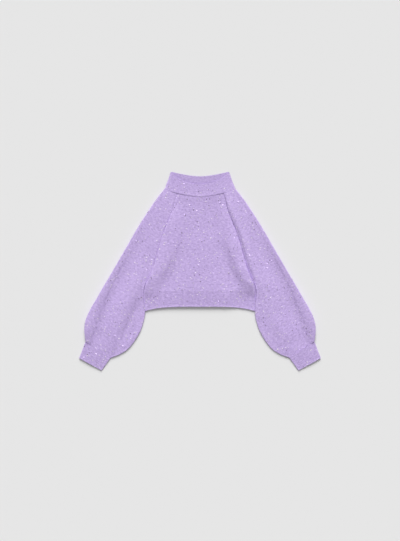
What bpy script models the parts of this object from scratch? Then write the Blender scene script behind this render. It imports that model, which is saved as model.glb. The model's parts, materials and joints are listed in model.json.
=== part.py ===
"""Cropped knit sweater: high neck, raglan balloon sleeves, ribbed hem and cuffs, laid flat on its back.

Metres, +Z up out of the surface it lies on, +Y towards the neck, +X towards the wearer's left sleeve.
The origin is under the middle of the garment, on that surface. Each piece that is knitted and linked on
its own is one object: front, back, two sleeves, collar, two halves of the hem rib and two cuffs. The back
layer of every piece lies flat, and the front layer lies on it with a little air under its folds. A
sleeve or a cuff is one strip folded round at its outer edge, whose two edges meet at the inner seam.
"""

import bmesh
import bpy
import numpy as np

# Cloth
CLOTH = 0.003  # one layer of the fluffy knit
GAP = 0.0003  # between pieces at a seam, and between layers that touch
AIR = 0.0032  # the most air between the two layers
FOLD_AIR = 0.0016  # the air just inside a folded edge
FOLD_REACH = 0.0040  # how far in from a folded edge its round begins
SETTLE = 0.040  # how far in from a seam the cloth has risen to its full air

# Neck and collar: the seam round the neck and the open top edge, at the middle and at the side folds
NECK_HALF_WIDTH = 0.133
NECK_SIDE_Y = 0.302
FRONT_NECK_Y = 0.274
BACK_NECK_Y = 0.290
COLLAR_TOP_HALF_WIDTH = 0.109
COLLAR_TOP_SIDE_Y = 0.368
COLLAR_FRONT_TOP_Y = 0.3215
COLLAR_BACK_TOP_Y = 0.350
FRONT_SEAM_POWER = 1.5  # how sharply each edge of the collar turns up towards the side folds
FRONT_TOP_POWER = 2.45
BACK_SEAM_POWER = 2.0
BACK_TOP_POWER = 1.6
COLLAR_ROWS = 5
COLLAR_FRONT_COLUMNS = 22
COLLAR_BACK_COLUMNS = 12

# Where the raglan seams start on the neck seam
FRONT_RAGLAN_X = 0.088
BACK_RAGLAN_X = 0.100

# The sleeve, as stations from the neck to the cuff: the outer fold and the inner edge of each, and how
# many rows reach it from the station before. The inner edge is the raglan seam down to the underarm,
# then the side of the body, the side of the hem rib, and the free inner edge of the sleeve.
NECK, RIB_TOP, HEM, CUFF_TOP = 0, 5, 6, 11
STATIONS = (
    ((0.133, 0.302), (0.088, 0.2890), 0),
    ((0.168, 0.256), (0.105, 0.220), 2),
    ((0.224, 0.173), (0.143, 0.122), 3),
    ((0.287, 0.064), (0.178, 0.003), 4),
    ((0.320, 0.007), (0.203, -0.055), 2),
    ((0.338, -0.024), (0.208, -0.088), 1),
    ((0.360, -0.059), (0.203, -0.149), 2),
    ((0.384, -0.099), (0.211, -0.196), 2),
    ((0.407, -0.141), (0.229, -0.240), 2),
    ((0.423, -0.184), (0.262, -0.285), 2),
    ((0.426, -0.222), (0.296, -0.307), 2),
    ((0.422, -0.262), (0.332, -0.3215), 2),
)
SLEEVE_FRONT_COLUMNS = 14
SLEEVE_BACK_COLUMNS = 6
FOLD_STEPS = 4

# Cuff: its open end, outer fold and inner edge
CUFF_END = ((0.447, -0.324), (0.366, -0.369))
CUFF_ROWS = 4
CUFF_AIR = 0.0012
CUFF_COLUMNS = 8

# Body and hem rib: how far the middle of each edge lies above its ends, and how late the edge turns
RIB_TOP_BOW = 0.0085
HEM_BOW = 0.0160
RIB_TOP_POWER = 3.0
HEM_POWER = 4.0
BODY_FRONT_COLUMNS = 24
BODY_BACK_COLUMNS = 10

# Soft troughs in the front layer: the line along the bottom, half width and depth of each. +X is the
# wearer's left.
TROUGHS = (
    (((0.086, 0.139), (0.093, 0.084), (0.117, 0.016), (0.145, -0.021)), 0.012, 0.0024),
    (((-0.074, 0.145), (-0.086, 0.071), (-0.117, 0.004), (-0.154, -0.045)), 0.012, 0.0026),
    (((0.240, 0.107), (0.307, 0.011), (0.359, -0.115), (0.397, -0.237)), 0.013, 0.0024),
    (((-0.222, 0.122), (-0.296, 0.004), (-0.370, -0.144), (-0.396, -0.237)), 0.013, 0.0024),
    (((-0.222, -0.033), (-0.253, -0.126), (-0.278, -0.188), (-0.314, -0.262)), 0.013, 0.0028),
    (((0.277, -0.218), (0.322, -0.262)), 0.018, 0.0014),
)

LILAC = (0.527, 0.404, 0.716, 1.0)
KNIT_ROUGHNESS = 0.95


def catmull_rom(points, counts):
    """A smooth curve through the points, with counts[i] steps on the way to point i."""
    points = np.asarray(points, float)
    ends = np.vstack([2 * points[0] - points[1], points, 2 * points[-1] - points[-2]])
    made = [points[0]]
    for i in range(1, len(points)):
        a, b, c, d = ends[i - 1 : i + 3]
        for t in np.arange(1, counts[i] + 1) / counts[i]:
            made.append(
                0.5 * (2 * b + (c - a) * t + (2 * a - 5 * b + 4 * c - d) * t**2
                       + (3 * b - a - 3 * c + d) * t**3)
            )
    return np.array(made)


COUNTS = [steps for _, _, steps in STATIONS]
OUTER_FOLD = catmull_rom([outer for outer, _, _ in STATIONS], COUNTS)
FRONT_INNER = catmull_rom([inner for _, inner, _ in STATIONS], COUNTS)
ROW_OF = np.cumsum(COUNTS)  # the row at which each station stands


def back_inner_edge():
    """The inner edge of a sleeve's back layer: it starts wider at the neck and joins the front one."""
    start = np.array([BACK_RAGLAN_X, back_seam(BACK_RAGLAN_X / NECK_HALF_WIDTH)])
    meets = ROW_OF[4]
    share = np.clip(1 - np.arange(len(FRONT_INNER)) / meets, 0, 1)[:, None] ** 1.5
    return FRONT_INNER + share * (start - FRONT_INNER[0])


def front_seam(q):
    """Y of the neck seam on the front, q from -1 to 1 between the side folds."""
    return FRONT_NECK_Y + (NECK_SIDE_Y - FRONT_NECK_Y) * np.abs(q) ** FRONT_SEAM_POWER


def back_seam(q):
    """Y of the neck seam on the back."""
    return BACK_NECK_Y + (NECK_SIDE_Y - BACK_NECK_Y) * np.abs(q) ** BACK_SEAM_POWER


def trough_depth(plan):
    """How much the troughs take off the air at these places."""
    depth = np.zeros(plan.shape[:-1])
    for line, half_width, deepest in TROUGHS:
        nearest = np.full(depth.shape, np.inf)
        for a, b in zip(np.array(line[:-1]), np.array(line[1:])):
            run = b - a
            t = np.clip(((plan - a) @ run) / (run @ run), 0, 1)
            nearest = np.minimum(nearest, np.linalg.norm(plan - a - t[..., None] * run, axis=-1))
        depth += deepest * np.exp(-((nearest / half_width) ** 2))
    return depth


def risen(distance):
    """How far the cloth has risen this far in from a seam, from 0 to 1."""
    return np.sin(np.clip(distance / SETTLE, 0, 1) * np.pi / 2)


def cloth_object(name, outer, inner, ring=False):
    """One closed wall between two matching grids of points, rows by columns. A ring joins its ends."""
    rows, columns = outer.shape[:2]
    around = columns if ring else columns - 1
    mesh = bmesh.new()
    skins = [[[mesh.verts.new(point) for point in row] for row in grid] for grid in (outer, inner)]
    for skin in skins:
        for r in range(rows - 1):
            for c in range(around):
                d = (c + 1) % columns
                mesh.faces.new((skin[r][c], skin[r][d], skin[r + 1][d], skin[r + 1][c]))
    over, under = skins
    for r in (0, rows - 1):
        for c in range(around):
            d = (c + 1) % columns
            mesh.faces.new((over[r][c], over[r][d], under[r][d], under[r][c]))
    if not ring:
        for c in (0, columns - 1):
            for r in range(rows - 1):
                mesh.faces.new((over[r][c], over[r + 1][c], under[r + 1][c], under[r][c]))
    bmesh.ops.recalc_face_normals(mesh, faces=mesh.faces)
    data = bpy.data.meshes.new(name)
    mesh.to_mesh(data)
    mesh.free()
    data.shade_smooth()
    data.set_sharp_from_angle(angle=np.radians(50))
    made = bpy.data.objects.new(name, data)
    bpy.context.scene.collection.objects.link(made)
    made.data.materials.append(knit_material(name))
    return made


def knit_material(name):
    """The lilac knit of one piece."""
    material = bpy.data.materials.new(f"knit_{name}")
    material.use_nodes = True
    shader = material.node_tree.nodes["Principled BSDF"]
    shader.inputs["Base Color"].default_value = LILAC
    shader.inputs["Roughness"].default_value = KNIT_ROUGHNESS
    shader.inputs["Metallic"].default_value = 0.0
    return material


def with_height(plan, z):
    """Plan points with a height each."""
    return np.concatenate([plan, np.broadcast_to(z, plan.shape[:-1])[..., None]], axis=-1)


def panel_plan(sides, columns, bows, powers):
    """Points across the body, row by row between the two sides. A row bows up by bows at its middle."""
    u = np.linspace(-1, 1, columns + 1)
    x = u * (sides[:, :1] - GAP)
    y = sides[:, 1:] + bows[:, None] * (1 - np.abs(u) ** powers[:, None])
    return np.stack([x, y], axis=-1)


def body_air(plan, sides):
    """The air under the front of the body: none at its side seams and at the neck seam."""
    from_side = sides[:, :1] - np.abs(plan[..., 0])
    from_neck = front_seam(plan[..., 0] / NECK_HALF_WIDTH) - plan[..., 1]
    full = AIR * risen(from_side) * risen(from_neck)
    return np.maximum(full - trough_depth(plan), 0)


def make_front_layer(name, plan, air):
    """A piece that lies on the back layer, with that much air under it."""
    low = CLOTH + GAP + air
    cloth_object(name, with_height(plan, low + CLOTH), with_height(plan, low))


def make_back_layer(name, plan):
    """A piece that lies flat on the surface under the garment."""
    cloth_object(name, with_height(plan, CLOTH), with_height(plan, 0.0))


def make_body():
    """Front and back, from the neck seam and the raglan seams to the hem rib."""
    rows = slice(0, ROW_OF[RIB_TOP] + 1)
    front_sides, back_sides = FRONT_INNER[rows], back_inner_edge()[rows]
    down = np.linspace(0, 1, len(front_sides))
    neck_bow = FRONT_NECK_Y - front_seam(FRONT_RAGLAN_X / NECK_HALF_WIDTH)
    powers = FRONT_SEAM_POWER + (RIB_TOP_POWER - FRONT_SEAM_POWER) * down
    front = panel_plan(front_sides, BODY_FRONT_COLUMNS, neck_bow + (RIB_TOP_BOW - neck_bow) * down, powers)
    neck_bow = BACK_NECK_Y - back_seam(BACK_RAGLAN_X / NECK_HALF_WIDTH)
    powers = BACK_SEAM_POWER + (RIB_TOP_POWER - BACK_SEAM_POWER) * down
    back = panel_plan(back_sides, BODY_BACK_COLUMNS, neck_bow + (RIB_TOP_BOW - neck_bow) * down, powers)
    for plan in (front, back):
        plan[0, :, 1] -= GAP
        plan[-1, :, 1] += GAP / 2
    make_front_layer("body_front", front, body_air(front, front_sides))
    make_back_layer("body_back", back)


def make_hem_rib():
    """The two halves of the ribbed band below the body."""
    sides = FRONT_INNER[ROW_OF[RIB_TOP] : ROW_OF[HEM] + 1]
    down = np.linspace(0, 1, len(sides))
    bows = RIB_TOP_BOW + (HEM_BOW - RIB_TOP_BOW) * down
    powers = RIB_TOP_POWER + (HEM_POWER - RIB_TOP_POWER) * down
    front = panel_plan(sides, BODY_FRONT_COLUMNS, bows, powers)
    back = panel_plan(sides, BODY_BACK_COLUMNS, bows, powers)
    for plan in (front, back):
        plan[0, :, 1] -= GAP / 2
    make_front_layer("hem_rib_front", front, body_air(front, sides))
    make_back_layer("hem_rib_back", back)


def folded_strip(name, side, outer, front_inner, back_inner, air_at, columns):
    """A strip folded round at its outer edge: front layer, fold, back layer, row by row.

    air_at gives the air under front points from their plan, distance to the inner edge and row share.
    """
    run = outer - front_inner
    width = np.linalg.norm(run, axis=1, keepdims=True)
    out = run / width
    front_columns, back_columns = columns
    along = np.linspace(0, 1, front_columns + 1)
    distance = GAP / 2 + along * (width - FOLD_REACH - GAP / 2)
    front = front_inner[:, None] + distance[..., None] * out[:, None]
    mirrored = np.array([side, 1.0])
    air = air_at(front * mirrored, distance, width - distance)
    low = CLOTH + GAP + air
    # The fold is half an ellipse outside and a small one inside, from the front layer down to the back.
    bend = np.linspace(np.pi / 2, -np.pi / 2, FOLD_STEPS + 1)[1:]
    middle = (low[:, -1:] + CLOTH) / 2
    turn = front[:, -1:]
    outer_fold = turn + FOLD_REACH * np.cos(bend)[:, None] * out[:, None]
    outer_fold_z = middle + middle * np.sin(bend)
    inner_fold = turn + (FOLD_REACH - CLOTH) * np.cos(bend)[:, None] * out[:, None]
    inner_fold_z = middle + (middle - CLOTH) * np.sin(bend)
    back_run = back_inner[:, None] - turn
    reach = np.linalg.norm(back_run, axis=-1, keepdims=True)
    share = (np.arange(1, back_columns + 1) / back_columns)[None, :, None]
    back = turn + back_run * share * (1 - GAP / 2 / reach)
    outside = np.concatenate(
        [with_height(front, low + CLOTH), with_height(outer_fold, outer_fold_z), with_height(back, 0.0)], axis=1
    )
    inside = np.concatenate(
        [with_height(front, low), with_height(inner_fold, inner_fold_z), with_height(back, CLOTH)], axis=1
    )
    for grid in (outside, inside):
        grid[..., 0] *= side
    cloth_object(name, outside, inside)


def make_sleeve(name, side):
    """A balloon sleeve, from the neck seam to the cuff. side is 1 for the wearer's left, -1 for the right."""
    outer, front_inner, back_inner = OUTER_FOLD.copy(), FRONT_INNER.copy(), back_inner_edge()
    for edge in (outer, front_inner, back_inner):
        edge[0, 1] -= 3 * GAP

    def air_at(plan, from_inner, from_outer):
        """Full air in the middle, none at the raglan and neck seams, and little at the cuff."""
        from_neck = np.linalg.norm(plan - OUTER_FOLD[0] * [side, 1], axis=-1)
        from_cuff = np.linalg.norm(OUTER_FOLD - OUTER_FOLD[-1], axis=1)[:, None]
        full = CUFF_AIR + (AIR - CUFF_AIR) * risen(from_cuff)
        rise = risen(from_inner) * risen(from_neck)
        near_fold = FOLD_AIR + (full - FOLD_AIR) * risen(from_outer)
        return np.maximum(near_fold * rise - trough_depth(plan), 0)

    folded_strip(name, side, outer, front_inner, back_inner, air_at, (SLEEVE_FRONT_COLUMNS, SLEEVE_BACK_COLUMNS))


def make_cuff(name, side):
    """The ribbed cuff at the end of a sleeve."""
    down = np.linspace(0, 1, CUFF_ROWS)[:, None]
    outer = OUTER_FOLD[-1] + down * (np.array(CUFF_END[0]) - OUTER_FOLD[-1])
    inner = FRONT_INNER[-1] + down * (np.array(CUFF_END[1]) - FRONT_INNER[-1])
    axis = (inner[-1] - inner[0]) / np.linalg.norm(inner[-1] - inner[0])
    outer[0] += GAP * axis
    inner[0] += GAP * axis

    def air_at(plan, from_inner, from_outer):
        """A little air between the two layers, and none at the inner seam."""
        return CUFF_AIR * risen(from_inner)

    folded_strip(name, side, outer, inner, inner, air_at, (CUFF_COLUMNS, CUFF_COLUMNS // 2))


def make_collar():
    """The high ribbed collar: one ring from the neck seam to its open top, front layer over back layer."""
    rise = np.linspace(0, 1, COLLAR_ROWS)[:, None]
    half = NECK_HALF_WIDTH + (COLLAR_TOP_HALF_WIDTH - NECK_HALF_WIDTH) * rise
    lean = 1 - FOLD_REACH / half
    q_front = np.linspace(1, -1, COLLAR_FRONT_COLUMNS + 1) * lean
    q_back = np.linspace(-1, 1, COLLAR_BACK_COLUMNS + 1) * lean
    corner = COLLAR_TOP_SIDE_Y

    def height_of(q, seam, top, power):
        """Y on a layer: from the neck seam at the bottom to the open edge at the top."""
        edge = top + (corner - top) * np.abs(q) ** power
        return seam(q) + (edge - seam(q)) * rise

    front_y = height_of(q_front, front_seam, COLLAR_FRONT_TOP_Y, FRONT_TOP_POWER)
    back_y = height_of(q_back, back_seam, COLLAR_BACK_TOP_Y, BACK_TOP_POWER)
    from_side = half * (1 - np.abs(q_front))
    from_seam = front_y - front_seam(q_front)
    air = (FOLD_AIR + (AIR - FOLD_AIR) * risen(from_side)) * risen(from_seam)
    low = CLOTH + GAP + air

    def layer(q, y, z):
        """Points of one layer."""
        return with_height(np.stack([q * half, y], axis=-1), z)

    def fold(end, reach, z_high, z_low):
        """The round side fold at one end of the front layer, from high to low, without its ends."""
        bend = np.linspace(np.pi / 2, -np.pi / 2, FOLD_STEPS + 1)[1:-1]
        sign = 1 if end == 0 else -1
        y_front, y_back = front_y[:, end][:, None], back_y[:, -1 if end == 0 else 0][:, None]
        y = (y_front + y_back) / 2 + (y_front - y_back) / 2 * np.sin(bend)
        x = sign * (half * lean + reach * np.cos(bend))
        z = (z_high + z_low) / 2 + (z_high - z_low) / 2 * np.sin(bend)
        points = np.stack([x, y, z], axis=-1)
        return points[:, ::-1] if end == 0 else points

    def loop(front_z, back_z, reach):
        """Once round: front layer, the fold at -X, back layer, the fold at +X."""
        return np.concatenate(
            [
                layer(q_front, front_y, front_z),
                fold(-1, reach, front_z[:, -1:], back_z),
                layer(q_back, back_y, back_z),
                fold(0, reach, front_z[:, :1], back_z),
            ],
            axis=1,
        )

    outside = loop(low + CLOTH, 0.0, FOLD_REACH)
    inside = loop(low, CLOTH, FOLD_REACH - CLOTH)
    cloth_object("collar", outside, inside, ring=True)


def main():
    """Builds every piece of the sweater in an empty scene."""
    for old in list(bpy.data.objects):
        bpy.data.objects.remove(old)
    make_body()
    make_hem_rib()
    for name, side in (("left", 1), ("right", -1)):
        make_sleeve(f"sleeve_{name}", side)
        make_cuff(f"cuff_{name}", side)
    make_collar()


main()
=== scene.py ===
"""Cropped lilac sweater of fluffy knit, laid flat on its back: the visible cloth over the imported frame.

Metres throughout, apart from fields whose names end in mm. +X runs towards the wearer's left sleeve, +Y
towards the collar and +Z up out of the surface the sweater lies on. Every piece of cloth is a thin closed
wall: a grid of points for its outer face, rows running down the garment and columns running round it, and
the same grid moved in by the cloth's thickness.
"""

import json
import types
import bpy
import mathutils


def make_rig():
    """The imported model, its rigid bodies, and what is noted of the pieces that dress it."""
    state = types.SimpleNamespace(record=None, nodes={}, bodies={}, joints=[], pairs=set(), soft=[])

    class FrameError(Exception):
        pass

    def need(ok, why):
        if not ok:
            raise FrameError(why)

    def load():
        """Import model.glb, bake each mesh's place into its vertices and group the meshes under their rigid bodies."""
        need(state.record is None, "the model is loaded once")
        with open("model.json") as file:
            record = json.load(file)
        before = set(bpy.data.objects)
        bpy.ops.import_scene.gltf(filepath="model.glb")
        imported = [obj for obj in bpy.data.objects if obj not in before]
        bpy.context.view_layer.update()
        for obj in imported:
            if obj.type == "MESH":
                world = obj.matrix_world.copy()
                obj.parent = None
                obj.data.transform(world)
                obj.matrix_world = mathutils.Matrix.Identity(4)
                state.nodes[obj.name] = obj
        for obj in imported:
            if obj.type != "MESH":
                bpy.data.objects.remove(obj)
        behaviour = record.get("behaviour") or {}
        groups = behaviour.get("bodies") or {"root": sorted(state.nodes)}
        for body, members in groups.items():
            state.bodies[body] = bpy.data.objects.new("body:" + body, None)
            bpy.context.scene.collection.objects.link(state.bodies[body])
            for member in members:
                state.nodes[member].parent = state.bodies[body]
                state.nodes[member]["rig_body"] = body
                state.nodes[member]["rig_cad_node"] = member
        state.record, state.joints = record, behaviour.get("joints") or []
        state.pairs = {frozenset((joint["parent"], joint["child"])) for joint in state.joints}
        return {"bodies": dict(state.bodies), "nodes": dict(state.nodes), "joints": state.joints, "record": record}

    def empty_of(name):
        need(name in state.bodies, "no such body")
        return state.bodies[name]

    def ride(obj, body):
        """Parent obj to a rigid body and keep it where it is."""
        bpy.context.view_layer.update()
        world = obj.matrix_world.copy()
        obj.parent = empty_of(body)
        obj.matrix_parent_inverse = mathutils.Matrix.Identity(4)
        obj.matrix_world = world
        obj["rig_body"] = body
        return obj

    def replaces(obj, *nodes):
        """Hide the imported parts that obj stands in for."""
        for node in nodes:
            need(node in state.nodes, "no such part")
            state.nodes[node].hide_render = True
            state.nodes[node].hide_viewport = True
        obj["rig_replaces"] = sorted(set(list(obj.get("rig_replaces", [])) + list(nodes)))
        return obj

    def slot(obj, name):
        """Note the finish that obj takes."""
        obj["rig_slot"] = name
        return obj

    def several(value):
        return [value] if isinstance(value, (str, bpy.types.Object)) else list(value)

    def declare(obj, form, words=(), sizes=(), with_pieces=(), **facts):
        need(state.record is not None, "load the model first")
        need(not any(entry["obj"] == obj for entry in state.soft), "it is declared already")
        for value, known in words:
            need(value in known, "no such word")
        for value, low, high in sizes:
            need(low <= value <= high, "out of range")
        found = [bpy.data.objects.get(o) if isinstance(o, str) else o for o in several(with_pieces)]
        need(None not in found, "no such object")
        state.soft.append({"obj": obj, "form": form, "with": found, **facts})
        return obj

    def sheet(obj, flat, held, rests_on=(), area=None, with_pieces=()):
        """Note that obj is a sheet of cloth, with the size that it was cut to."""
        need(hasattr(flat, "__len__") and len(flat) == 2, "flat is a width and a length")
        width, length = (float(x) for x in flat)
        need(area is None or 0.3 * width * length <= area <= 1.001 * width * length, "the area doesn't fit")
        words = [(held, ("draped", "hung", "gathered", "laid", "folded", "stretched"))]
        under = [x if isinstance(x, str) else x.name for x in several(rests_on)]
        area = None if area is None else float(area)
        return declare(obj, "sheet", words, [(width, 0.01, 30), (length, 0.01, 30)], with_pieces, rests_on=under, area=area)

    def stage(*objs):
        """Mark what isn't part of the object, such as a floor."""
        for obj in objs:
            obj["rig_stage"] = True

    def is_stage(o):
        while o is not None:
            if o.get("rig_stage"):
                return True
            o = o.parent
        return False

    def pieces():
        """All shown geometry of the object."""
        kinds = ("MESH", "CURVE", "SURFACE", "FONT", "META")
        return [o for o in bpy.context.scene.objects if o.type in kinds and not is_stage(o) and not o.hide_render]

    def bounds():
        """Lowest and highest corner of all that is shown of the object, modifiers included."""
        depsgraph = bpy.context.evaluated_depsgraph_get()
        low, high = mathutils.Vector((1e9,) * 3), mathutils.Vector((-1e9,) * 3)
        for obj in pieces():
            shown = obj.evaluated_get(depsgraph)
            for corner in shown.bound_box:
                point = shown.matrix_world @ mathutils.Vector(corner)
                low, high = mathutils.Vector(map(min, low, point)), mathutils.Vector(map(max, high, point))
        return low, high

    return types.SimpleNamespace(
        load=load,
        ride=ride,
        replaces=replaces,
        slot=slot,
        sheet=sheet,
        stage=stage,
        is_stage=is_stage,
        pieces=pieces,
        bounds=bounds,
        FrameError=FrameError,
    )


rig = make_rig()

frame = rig.load()
CAD_BOX = [list(corner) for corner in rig.bounds()]

import json
import logging
from collections.abc import Callable
from dataclasses import dataclass
from enum import Enum

import bpy
import numpy as np

LOG = logging.getLogger("sweater")
MM = 0.001
TINY = 1e-12
Array = np.ndarray
Points = tuple[tuple[float, float], ...]
Colour = tuple[float, float, float]
Crest = Callable[[Array, Array, Array], Array]
Materials = dict["Stitch", bpy.types.Material]
Socket = bpy.types.NodeSocket


class Side(Enum):
    """The wearer's left or right, as the sign of X."""

    LEFT = 1
    RIGHT = -1

    @property
    def word(self) -> str:
        """The side's name in a piece's name."""
        return self.name.lower()


class Stitch(Enum):
    """How a piece of cloth is knitted: its material's slot, and the width of a column of stitches."""

    JERSEY = ("knit", 4.0 * MM)
    RIB = ("rib", 2.6 * MM)

    @property
    def slot(self) -> str:
        """The slot that the cloth's material takes."""
        return self.value[0]

    @property
    def wale(self) -> float:
        """The width of one column of stitches."""
        return self.value[1]


class Tone(Enum):
    """The kinds of sequin, each with its colour, metallic value and roughness. The near-white kind is a
    painted glint and the dark plum kind a painted dark reflection, lit and shaded copies of the lilac one.
    """

    # Painted glint: near-white, so the sequin shows bright whether or not it catches the light.
    PEARL = ((0.97, 0.90, 0.93), 0.0, 0.42)
    LILAC = ((0.70, 0.56, 0.88), 0.55, 0.38)
    # Painted dark reflection: the sequin coloured dark as if it mirrored dark surroundings.
    PLUM = ((0.17, 0.12, 0.20), 0.30, 0.42)


# --------------------------------------------------------------------------------------------------
# Curves and profiles
# --------------------------------------------------------------------------------------------------


def spline(points: Points, at: Array) -> Array:
    """A smooth curve through points.

    Formula: the uniform Catmull-Rom cubic on the four points round each span, with the end points
    reflected to give the first and last span a neighbour.

    Args:
        points: the points, in order.
        at: where to read the curve, 0 at the first point, 1 at the second and so on.

    Returns:
        An array of the shape of at, with two coordinates each.
    """
    p = np.asarray(points, float)
    p = np.vstack([2 * p[0] - p[1], p, 2 * p[-1] - p[-2]])
    i = np.clip(np.floor(at).astype(int), 0, len(points) - 2)
    t = (at - i)[..., None]
    a, b, c, d = p[i], p[i + 1], p[i + 2], p[i + 3]
    return 0.5 * (2 * b + (c - a) * t + (2 * a - 5 * b + 4 * c - d) * t**2 + (3 * b - a - 3 * c + d) * t**3)


def rolled(distance: Array, radius: float) -> Array:
    """A rounded edge's height: a quarter circle, 0 at the edge and 1 from radius inwards."""
    return np.sqrt(1 - (1 - np.clip(distance / radius, 0, 1)) ** 2)


def settled(distance: Array, reach: float) -> Array:
    """A soft rise from 0 at an edge towards 1, by one minus the exponential of distance over reach."""
    return 1 - np.exp(-np.maximum(distance, 0) / reach)


def bump(distance: Array, reach: float) -> Array:
    """A soft bump of height 1, by the exponential of minus the square of distance over reach."""
    return np.exp(-((distance / reach) ** 2))


def smooth_step(x: Array) -> Array:
    """0 below 0, 1 above 1 and the cubic 3x²-2x³ in between."""
    x = np.clip(x, 0, 1)
    return x * x * (3 - 2 * x)


def table(at: Array, pairs: Points) -> Array:
    """Values read off straight lines between (where, value) pairs."""
    where, value = zip(*pairs)
    return np.interp(at, where, value)


def spaced(length: float, step: float) -> Array:
    """Distances from 0 to length about step apart, and closer together by both ends.

    Args:
        length: the last distance.
        step: the usual spacing.

    Returns:
        The distances, in order.
    """
    close = np.array([0.0, 0.12, 0.35, 0.75, 1.3]) * step
    inner = np.linspace(close[-1], length - close[-1], max(2, round((length - 2 * close[-1]) / step) + 1))
    return np.concatenate([close[:-1], inner, (length - close[:-1])[::-1]])


def ripple(plan: Array, wavelength: float, seed: int, waves: int = 14) -> Array:
    """Soft unevenness about 0, at most places within 1.

    Formula: the mean of cosines of about that wavelength whose directions and phases are drawn from a
    seeded generator, times 0.6 of the square root of twice their number.

    Args:
        plan: points, two coordinates each.
        wavelength: the distance from crest to crest.
        seed: for the draw.
        waves: how many cosines.

    Returns:
        One value for each point.
    """
    rng = np.random.default_rng(seed)
    angle, phase = rng.uniform(0, 2 * np.pi, (2, waves))
    size = 2 * np.pi / (wavelength * rng.uniform(0.7, 1.5, waves))
    turn = plan[..., :1] * (size * np.cos(angle)) + plan[..., 1:2] * (size * np.sin(angle)) + phase
    return np.cos(turn).mean(axis=-1) * np.sqrt(2 * waves) * 0.6


def unit(vectors: Array) -> Array:
    """The vectors, each brought to a length of one."""
    return vectors / np.maximum(np.linalg.norm(vectors, axis=-1, keepdims=True), TINY)


def walked(line: Array) -> Array:
    """The distance gone along a line of points, 0 at its first."""
    return np.concatenate([[0], np.cumsum(np.linalg.norm(np.diff(line, axis=0), axis=1))])


def drawn_along(edge: Callable[[Array], Array], first: float, last: float, step: float) -> Array:
    """Stations at even distances along an edge of the outline, closer by its ends.

    Args:
        edge: the edge, as a function of the station.
        first: the first station.
        last: the last station.
        step: the distance from one to the next.

    Returns:
        The stations, from first to last.
    """
    tried = np.linspace(first, last, 400)
    gone = walked(edge(tried))
    return np.interp(spaced(gone[-1], step), gone, tried)


@dataclass(frozen=True)
class Fold:
    """A soft fold of the cloth along a line, across which the cloth steps down.

    Going along the line, the drops are how much the cloth steps down from the line's left side to its
    right: one for each inner point, for the fold runs out at both ends.
    """

    line: Points
    drops_mm: tuple[float, ...]
    width_mm: float
    spread: float = 3.0
    samples: int = 72

    def signed(self, plan: Array) -> tuple[Array, Array]:
        """Finds each place's nearest point on the line.

        Formula: the side is the sign of the cross product of the line's direction with the way from
        the line to the place.

        Args:
            plan: the places, two coordinates each.

        Returns:
            The distance from the line, positive on its left, and the share of the way along it.
        """
        share = np.linspace(0, 1, self.samples)
        curve = spline(self.line, share * (len(self.line) - 1))
        away = plan[..., None, :] - curve
        gap = np.linalg.norm(away, axis=-1)
        nearest = gap.argmin(axis=-1)
        way = np.gradient(curve, axis=0)[nearest]
        off = np.take_along_axis(away, nearest[..., None, None], -2)[..., 0, :]
        side = np.sign(way[..., 0] * off[..., 1] - way[..., 1] * off[..., 0])
        return gap.min(axis=-1) * side, share[nearest]

    def at(self, plan: Array) -> Array:
        """The fold's height.

        Formula: half the drop times tanh(s/width) - tanh(s/(spread width)), s being the distance from
        the line: a step down across it, made good over a wider stretch on either side.

        Args:
            plan: the places, two coordinates each.

        Returns:
            One height for each place.
        """
        s, along = self.signed(plan)
        width = self.width_mm * MM
        drop = np.interp(along, np.linspace(0, 1, len(self.line)), (0, *self.drops_mm, 0)) * MM
        return drop / 2 * (np.tanh(s / width) - np.tanh(s / (self.spread * width)))


# --------------------------------------------------------------------------------------------------
# The plan of the garment
# --------------------------------------------------------------------------------------------------


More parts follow.
